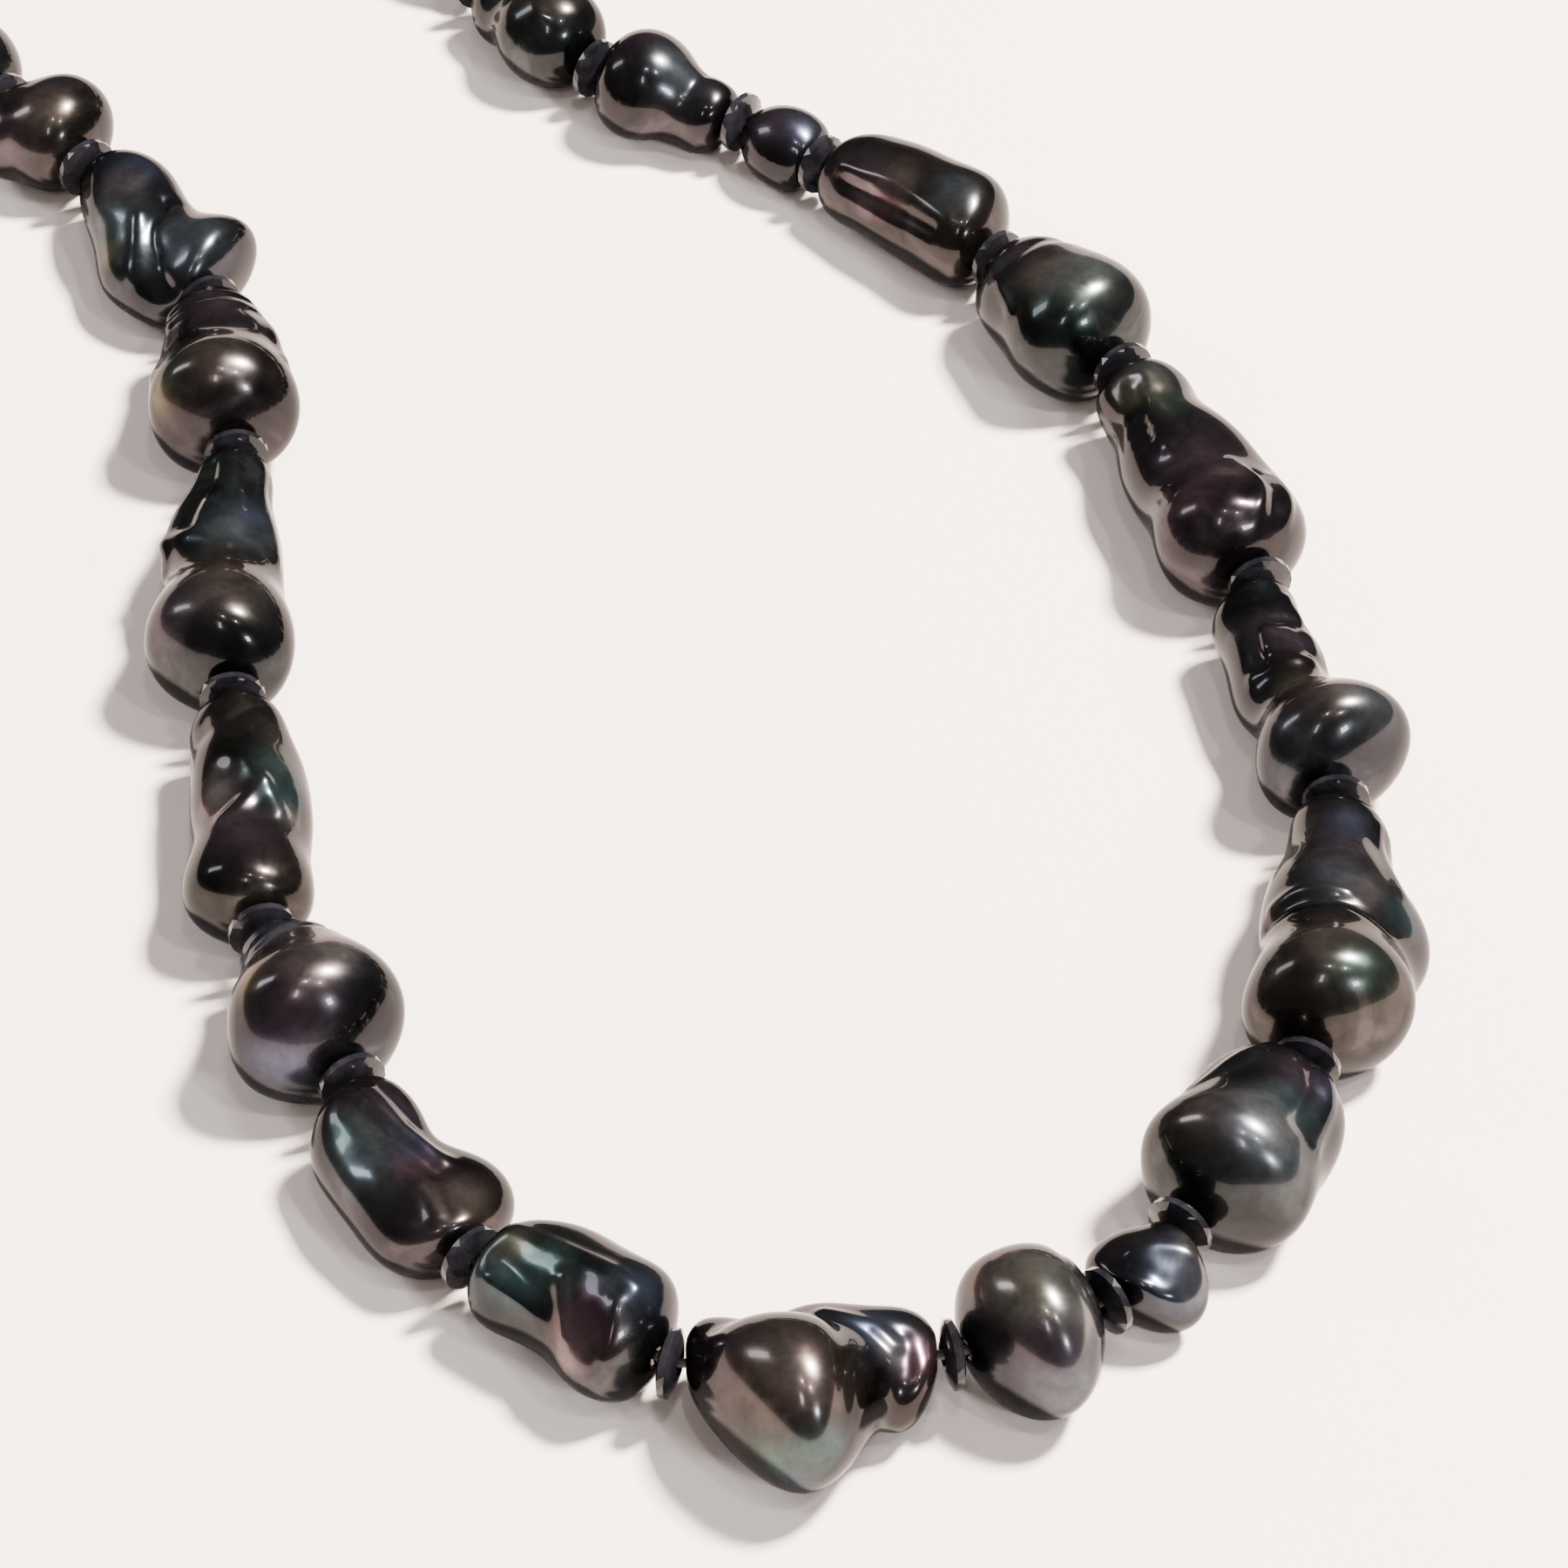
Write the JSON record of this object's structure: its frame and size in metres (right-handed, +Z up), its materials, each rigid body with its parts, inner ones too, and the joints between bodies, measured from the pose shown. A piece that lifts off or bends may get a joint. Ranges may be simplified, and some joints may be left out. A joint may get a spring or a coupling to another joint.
{
  "type": "pearl necklace",
  "caption": "Strand of dark baroque pearls with black disc spacers on one thread, laid open in a U with a spring-lever claw clasp and a clasp tab at its ends.",
  "frame": {"origin": "on the table, at the middle of the laid-open strand's bounding box", "axes": "+Z up from the table, +Y from the front pearls to the clasp ends, +X to the right"},
  "size_m": [0.1566, 0.1989, 0.0128],
  "materials": {
    "nacre_slate": "polished dark nacre with steel blue overtone",
    "nacre_aubergine": "polished dark nacre with purple overtone",
    "nacre_peacock": "polished dark nacre with green overtone",
    "nacre_bronze": "polished dark nacre with bronze overtone",
    "spacer_black": "cut and polished black stone",
    "thread_black": "twisted silk",
    "clasp_metal": "polished silver",
    "spring_steel": "bare spring strip"
  },
  "bodies": {
    "pearl_01": {"pearl_01": "nacre_slate"},
    "pearl_02": {"pearl_02": "nacre_aubergine"},
    "pearl_03": {"pearl_03": "nacre_peacock"},
    "pearl_04": {"pearl_04": "nacre_bronze"},
    "pearl_05": {"pearl_05": "nacre_slate"},
    "pearl_06": {"pearl_06": "nacre_aubergine"},
    "pearl_07": {"pearl_07": "nacre_peacock"},
    "pearl_08": {"pearl_08": "nacre_bronze"},
    "pearl_09": {"pearl_09": "nacre_slate"},
    "pearl_10": {"pearl_10": "nacre_aubergine"},
    "pearl_11": {"pearl_11": "nacre_peacock"},
    "pearl_12": {"pearl_12": "nacre_bronze", "thread": "thread_black"},
    "pearl_13": {"pearl_13": "nacre_slate"},
    "pearl_14": {"pearl_14": "nacre_aubergine"},
    "pearl_15": {"pearl_15": "nacre_peacock"},
    "pearl_16": {"pearl_16": "nacre_bronze"},
    "pearl_17": {"pearl_17": "nacre_slate"},
    "pearl_18": {"pearl_18": "nacre_aubergine"},
    "pearl_19": {"pearl_19": "nacre_peacock"},
    "pearl_20": {"pearl_20": "nacre_bronze"},
    "pearl_21": {"pearl_21": "nacre_slate"},
    "pearl_22": {"pearl_22": "nacre_aubergine"},
    "pearl_23": {"pearl_23": "nacre_peacock"},
    "pearl_24": {"pearl_24": "nacre_bronze"},
    "spacer_01": {"spacer_01": "spacer_black"},
    "spacer_02": {"spacer_02": "spacer_black"},
    "spacer_03": {"spacer_03": "spacer_black"},
    "spacer_04": {"spacer_04": "spacer_black"},
    "spacer_05": {"spacer_05": "spacer_black"},
    "spacer_06": {"spacer_06": "spacer_black"},
    "spacer_07": {"spacer_07": "spacer_black"},
    "spacer_08": {"spacer_08": "spacer_black"},
    "spacer_09": {"spacer_09": "spacer_black"},
    "spacer_10": {"spacer_10": "spacer_black"},
    "spacer_11": {"spacer_11": "spacer_black"},
    "spacer_12": {"spacer_12": "spacer_black"},
    "spacer_13": {"spacer_13": "spacer_black"},
    "spacer_14": {"spacer_14": "spacer_black"},
    "spacer_15": {"spacer_15": "spacer_black"},
    "spacer_16": {"spacer_16": "spacer_black"},
    "spacer_17": {"spacer_17": "spacer_black"},
    "spacer_18": {"spacer_18": "spacer_black"},
    "spacer_19": {"spacer_19": "spacer_black"},
    "spacer_20": {"spacer_20": "spacer_black"},
    "spacer_21": {"spacer_21": "spacer_black"},
    "spacer_22": {"spacer_22": "spacer_black"},
    "spacer_23": {"spacer_23": "spacer_black"},
    "spacer_24": {"spacer_24": "spacer_black"},
    "spacer_25": {"spacer_25": "spacer_black"},
    "ring_end_cover": {"ring_end_cover": "clasp_metal"},
    "ring_end_jump_ring": {"ring_end_jump_ring": "clasp_metal"},
    "clasp_tab": {"clasp_tab": "clasp_metal"},
    "clasp_end_cover": {"clasp_end_cover": "clasp_metal"},
    "clasp_end_jump_ring": {"clasp_end_jump_ring": "clasp_metal"},
    "clasp_body": {"clasp_body": "clasp_metal", "clasp_pivot_pin": "clasp_metal", "clasp_spring": "spring_steel"},
    "clasp_lever": {"clasp_lever": "clasp_metal"}
  },
  "joints": [
    {"name": "clasp_ring_swing", "type": "hinge", "parent": "clasp_end_cover", "child": "clasp_end_jump_ring", "pos_m": [-0.00093, 0.08422, 0.0029], "axis": [-0.032, 0.0995, 0.9945], "range_deg": [-35, 35]},
    {"name": "clasp_body_tilt", "type": "hinge", "parent": "clasp_end_jump_ring", "child": "clasp_body", "pos_m": [-0.00148, 0.08593, 0.00271], "axis": [0.952, 0.3062, 0], "range_deg": [-5, 45]},
    {"name": "clasp_lever_press", "type": "hinge", "parent": "clasp_body", "child": "clasp_lever", "pos_m": [-0.00467, 0.09187, 0.00202], "axis": [0.032, -0.0995, -0.9945], "range_deg": [0, 25], "stiffness_Nm_per_rad": 0.001, "springref_deg": -11.46, "deforming": ["thread", "clasp_spring"]},
    {"name": "end_ring_swing", "type": "hinge", "parent": "ring_end_cover", "child": "ring_end_jump_ring", "pos_m": [-0.06712, 0.07979, 0.00267], "axis": [-0.1077, 0.0881, 0.9903], "range_deg": [-35, 35]},
    {"name": "end_tab_tilt", "type": "hinge", "parent": "ring_end_jump_ring", "child": "clasp_tab", "pos_m": [-0.0685, 0.08092, 0.00242], "axis": [0.6332, 0.774, 0], "range_deg": [-5, 45]},
    {"name": "lift_13", "type": "hinge", "parent": "pearl_12", "child": "spacer_13", "pos_m": [0.0424, -0.0884, 0.0055], "axis": [0.2313, -0.9729, 0], "range_deg": [-12, 12], "stiffness_Nm_per_rad": 0.002},
    {"name": "sway_13", "type": "hinge", "parent": "spacer_13", "child": "pearl_13", "pos_m": [0.0424, -0.0884, 0.0055], "axis": [0, 0, 1], "range_deg": [-12, 9], "stiffness_Nm_per_rad": 0.002},
    {"name": "lift_14", "type": "hinge", "parent": "pearl_13", "child": "spacer_14", "pos_m": [0.053, -0.0834, 0.0053], "axis": [-0.6219, 0.7831, 0], "range_deg": [-12, 12], "stiffness_Nm_per_rad": 0.002},
    {"name": "sway_14", "type": "hinge", "parent": "spacer_14", "child": "pearl_14", "pos_m": [0.053, -0.0834, 0.0053], "axis": [0, 0, -1], "range_deg": [-8, 12], "stiffness_Nm_per_rad": 0.002},
    {"name": "lift_15", "type": "hinge", "parent": "pearl_14", "child": "spacer_15", "pos_m": [0.0583, -0.0767, 0.0053], "axis": [-0.8139, 0.581, 0], "range_deg": [-12, 12], "stiffness_Nm_per_rad": 0.002},
    {"name": "sway_15", "type": "hinge", "parent": "spacer_15", "child": "pearl_15", "pos_m": [0.0583, -0.0767, 0.0053], "axis": [0, 0, 1], "range_deg": [-12, 12], "stiffness_Nm_per_rad": 0.002},
    {"name": "lift_16", "type": "hinge", "parent": "pearl_15", "child": "spacer_16", "pos_m": [0.0678, -0.0619, 0.0059], "axis": [0.9382, -0.3462, 0], "range_deg": [-12, 12], "stiffness_Nm_per_rad": 0.002},
    {"name": "sway_16", "type": "hinge", "parent": "spacer_16", "child": "pearl_16", "pos_m": [0.0678, -0.0619, 0.0059], "axis": [0, 0, -1], "range_deg": [-9, 12], "stiffness_Nm_per_rad": 0.002},
    {"name": "lift_17", "type": "hinge", "parent": "pearl_16", "child": "spacer_17", "pos_m": [0.0714, -0.0357, 0.006], "axis": [0.9997, 0.0235, 0], "range_deg": [-12, 12], "stiffness_Nm_per_rad": 0.002},
    {"name": "sway_17", "type": "hinge", "parent": "spacer_17", "child": "pearl_17", "pos_m": [0.0714, -0.0357, 0.006], "axis": [0, 0, 1], "range_deg": [-12, 12], "stiffness_Nm_per_rad": 0.002},
    {"name": "lift_18", "type": "hinge", "parent": "pearl_17", "child": "spacer_18", "pos_m": [0.067, -0.012, 0.0056], "axis": [-0.9621, -0.2726, 0], "range_deg": [-12, 12], "stiffness_Nm_per_rad": 0.002},
    {"name": "sway_18", "type": "hinge", "parent": "spacer_18", "child": "pearl_18", "pos_m": [0.067, -0.012, 0.0056], "axis": [0, 0, -1], "range_deg": [-12, 12], "stiffness_Nm_per_rad": 0.002},
    {"name": "lift_19", "type": "hinge", "parent": "pearl_18", "child": "spacer_19", "pos_m": [0.0575, 0.0126, 0.0055], "axis": [-0.8859, -0.4639, 0], "range_deg": [-12, 12], "stiffness_Nm_per_rad": 0.002},
    {"name": "sway_19", "type": "hinge", "parent": "spacer_19", "child": "pearl_19", "pos_m": [0.0575, 0.0126, 0.0055], "axis": [0, 0, 1], "range_deg": [-12, 12], "stiffness_Nm_per_rad": 0.002},
    {"name": "lift_20", "type": "hinge", "parent": "pearl_19", "child": "spacer_20", "pos_m": [0.048, 0.0266, 0.005], "axis": [0.7524, 0.6587, 0], "range_deg": [-12, 12], "stiffness_Nm_per_rad": 0.002},
    {"name": "sway_20", "type": "hinge", "parent": "spacer_20", "child": "pearl_20", "pos_m": [0.048, 0.0266, 0.005], "axis": [0, 0, -1], "range_deg": [-12, 12], "stiffness_Nm_per_rad": 0.002},
    {"name": "lift_21", "type": "hinge", "parent": "pearl_20", "child": "spacer_21", "pos_m": [0.034, 0.0391, 0.0045], "axis": [0.6722, 0.7404, 0], "range_deg": [-12, 12], "stiffness_Nm_per_rad": 0.002},
    {"name": "sway_21", "type": "hinge", "parent": "spacer_21", "child": "pearl_21", "pos_m": [0.034, 0.0391, 0.0045], "axis": [0, 0, 1], "range_deg": [-12, 12], "stiffness_Nm_per_rad": 0.002},
    {"name": "lift_22", "type": "hinge", "parent": "pearl_21", "child": "spacer_22", "pos_m": [0.0275, 0.0451, 0.004], "axis": [-0.5931, -0.8052, 0], "range_deg": [-12, 12], "stiffness_Nm_per_rad": 0.002},
    {"name": "sway_22", "type": "hinge", "parent": "spacer_22", "child": "pearl_22", "pos_m": [0.0275, 0.0451, 0.004], "axis": [0, 0, -1], "range_deg": [-12, 12], "stiffness_Nm_per_rad": 0.002},
    {"name": "lift_23", "type": "hinge", "parent": "pearl_22", "child": "spacer_23", "pos_m": [0.0154, 0.0521, 0.004], "axis": [-0.6421, -0.7666, 0], "range_deg": [-12, 12], "stiffness_Nm_per_rad": 0.002},
    {"name": "sway_23", "type": "hinge", "parent": "spacer_23", "child": "pearl_23", "pos_m": [0.0154, 0.0521, 0.004], "axis": [0, 0, 1], "range_deg": [-11, 12], "stiffness_Nm_per_rad": 0.002},
    {"name": "lift_24", "type": "hinge", "parent": "pearl_23", "child": "spacer_24", "pos_m": [0.0057, 0.0636, 0.004], "axis": [0.8747, 0.4847, 0], "range_deg": [-12, 12], "stiffness_Nm_per_rad": 0.002},
    {"name": "sway_24", "type": "hinge", "parent": "spacer_24", "child": "pearl_24", "pos_m": [0.0057, 0.0636, 0.004], "axis": [0, 0, -1], "range_deg": [-12, 10], "stiffness_Nm_per_rad": 0.002},
    {"name": "lift_25", "type": "hinge", "parent": "pearl_24", "child": "spacer_25", "pos_m": [0.0011, 0.0779, 0.0036], "axis": [0.952, 0.3062, 0], "range_deg": [-12, 12], "stiffness_Nm_per_rad": 0.002},
    {"name": "sway_25", "type": "hinge", "parent": "spacer_25", "child": "clasp_end_cover", "pos_m": [0.0011, 0.0779, 0.0036], "axis": [0, 0, 1], "range_deg": [-12, 12], "stiffness_Nm_per_rad": 0.002},
    {"name": "lift_12", "type": "hinge", "parent": "pearl_12", "child": "spacer_12", "pos_m": [0.0233, -0.0889, 0.0052], "axis": [0.2867, 0.958, 0], "range_deg": [-12, 12], "stiffness_Nm_per_rad": 0.002},
    {"name": "sway_12", "type": "hinge", "parent": "spacer_12", "child": "pearl_11", "pos_m": [0.0233, -0.0889, 0.0052], "axis": [0, 0, 1], "range_deg": [-3, 12], "stiffness_Nm_per_rad": 0.002},
    {"name": "lift_11", "type": "hinge", "parent": "pearl_11", "child": "spacer_11", "pos_m": [0.0095, -0.0793, 0.0051], "axis": [-0.7425, -0.6699, 0], "range_deg": [-12, 12], "stiffness_Nm_per_rad": 0.002},
    {"name": "sway_11", "type": "hinge", "parent": "spacer_11", "child": "pearl_10", "pos_m": [0.0095, -0.0793, 0.0051], "axis": [0, 0, -1], "range_deg": [-12, 8], "stiffness_Nm_per_rad": 0.002},
    {"name": "lift_10", "type": "hinge", "parent": "pearl_10", "child": "spacer_10", "pos_m": [0.0006, -0.0632, 0.0055], "axis": [-0.8882, -0.4595, 0], "range_deg": [-12, 12], "stiffness_Nm_per_rad": 0.002},
    {"name": "sway_10", "type": "hinge", "parent": "spacer_10", "child": "pearl_09", "pos_m": [0.0006, -0.0632, 0.0055], "axis": [0, 0, 1], "range_deg": [-12, 12], "stiffness_Nm_per_rad": 0.002},
    {"name": "lift_09", "type": "hinge", "parent": "pearl_09", "child": "spacer_09", "pos_m": [-0.0065, -0.0485, 0.0056], "axis": [0.9559, 0.2936, 0], "range_deg": [-12, 12], "stiffness_Nm_per_rad": 0.002},
    {"name": "sway_09", "type": "hinge", "parent": "spacer_09", "child": "pearl_08", "pos_m": [-0.0065, -0.0485, 0.0056], "axis": [0, 0, -1], "range_deg": [-12, 12], "stiffness_Nm_per_rad": 0.002},
    {"name": "lift_08", "type": "hinge", "parent": "pearl_08", "child": "spacer_08", "pos_m": [-0.01, -0.0247, 0.0058], "axis": [0.9953, 0.0967, 0], "range_deg": [-12, 12], "stiffness_Nm_per_rad": 0.002},
    {"name": "sway_08", "type": "hinge", "parent": "spacer_08", "child": "pearl_07", "pos_m": [-0.01, -0.0247, 0.0058], "axis": [0, 0, 1], "range_deg": [-12, 12], "stiffness_Nm_per_rad": 0.002},
    {"name": "lift_07", "type": "hinge", "parent": "pearl_07", "child": "spacer_07", "pos_m": [-0.0113, 0.0025, 0.0056], "axis": [-0.9941, -0.1088, 0], "range_deg": [-12, 12], "stiffness_Nm_per_rad": 0.002},
    {"name": "sway_07", "type": "hinge", "parent": "spacer_07", "child": "pearl_06", "pos_m": [-0.0113, 0.0025, 0.0056], "axis": [0, 0, -1], "range_deg": [-12, 12], "stiffness_Nm_per_rad": 0.002},
    {"name": "lift_06", "type": "hinge", "parent": "pearl_06", "child": "spacer_06", "pos_m": [-0.0145, 0.0211, 0.0052], "axis": [-0.9324, -0.3613, 0], "range_deg": [-12, 12], "stiffness_Nm_per_rad": 0.002},
    {"name": "sway_06", "type": "hinge", "parent": "spacer_06", "child": "pearl_05", "pos_m": [-0.0145, 0.0211, 0.0052], "axis": [0, 0, 1], "range_deg": [-12, 10], "stiffness_Nm_per_rad": 0.002},
    {"name": "lift_05", "type": "hinge", "parent": "pearl_05", "child": "spacer_05", "pos_m": [-0.0255, 0.0383, 0.0048], "axis": [0.802, 0.5974, 0], "range_deg": [-12, 12], "stiffness_Nm_per_rad": 0.002},
    {"name": "sway_05", "type": "hinge", "parent": "spacer_05", "child": "pearl_04", "pos_m": [-0.0255, 0.0383, 0.0048], "axis": [0, 0, -1], "range_deg": [-12, 12], "stiffness_Nm_per_rad": 0.002},
    {"name": "lift_04", "type": "hinge", "parent": "pearl_04", "child": "spacer_04", "pos_m": [-0.033, 0.047, 0.0046], "axis": [0.7611, 0.6487, 0], "range_deg": [-12, 12], "stiffness_Nm_per_rad": 0.002},
    {"name": "sway_04", "type": "hinge", "parent": "spacer_04", "child": "pearl_03", "pos_m": [-0.033, 0.047, 0.0046], "axis": [0, 0, 1], "range_deg": [-12, 12], "stiffness_Nm_per_rad": 0.002},
    {"name": "lift_03", "type": "hinge", "parent": "pearl_03", "child": "spacer_03", "pos_m": [-0.0405, 0.0559, 0.0042], "axis": [-0.7397, -0.6729, 0], "range_deg": [-12, 12], "stiffness_Nm_per_rad": 0.002},
    {"name": "sway_03", "type": "hinge", "parent": "spacer_03", "child": "pearl_02", "pos_m": [-0.0405, 0.0559, 0.0042], "axis": [0, 0, -1], "range_deg": [-12, 12], "stiffness_Nm_per_rad": 0.002},
    {"name": "lift_02", "type": "hinge", "parent": "pearl_02", "child": "spacer_02", "pos_m": [-0.051, 0.0666, 0.004], "axis": [-0.6745, -0.7383, 0], "range_deg": [-12, 12], "stiffness_Nm_per_rad": 0.002},
    {"name": "sway_02", "type": "hinge", "parent": "spacer_02", "child": "pearl_01", "pos_m": [-0.051, 0.0666, 0.004], "axis": [0, 0, 1], "range_deg": [-12, 12], "stiffness_Nm_per_rad": 0.002},
    {"name": "lift_01", "type": "hinge", "parent": "pearl_01", "child": "spacer_01", "pos_m": [-0.062, 0.0756, 0.0036], "axis": [0.6332, 0.774, 0], "range_deg": [-12, 12], "stiffness_Nm_per_rad": 0.002},
    {"name": "sway_01", "type": "hinge", "parent": "spacer_01", "child": "ring_end_cover", "pos_m": [-0.062, 0.0756, 0.0036], "axis": [0, 0, -1], "range_deg": [-12, 12], "stiffness_Nm_per_rad": 0.002}
  ]
}
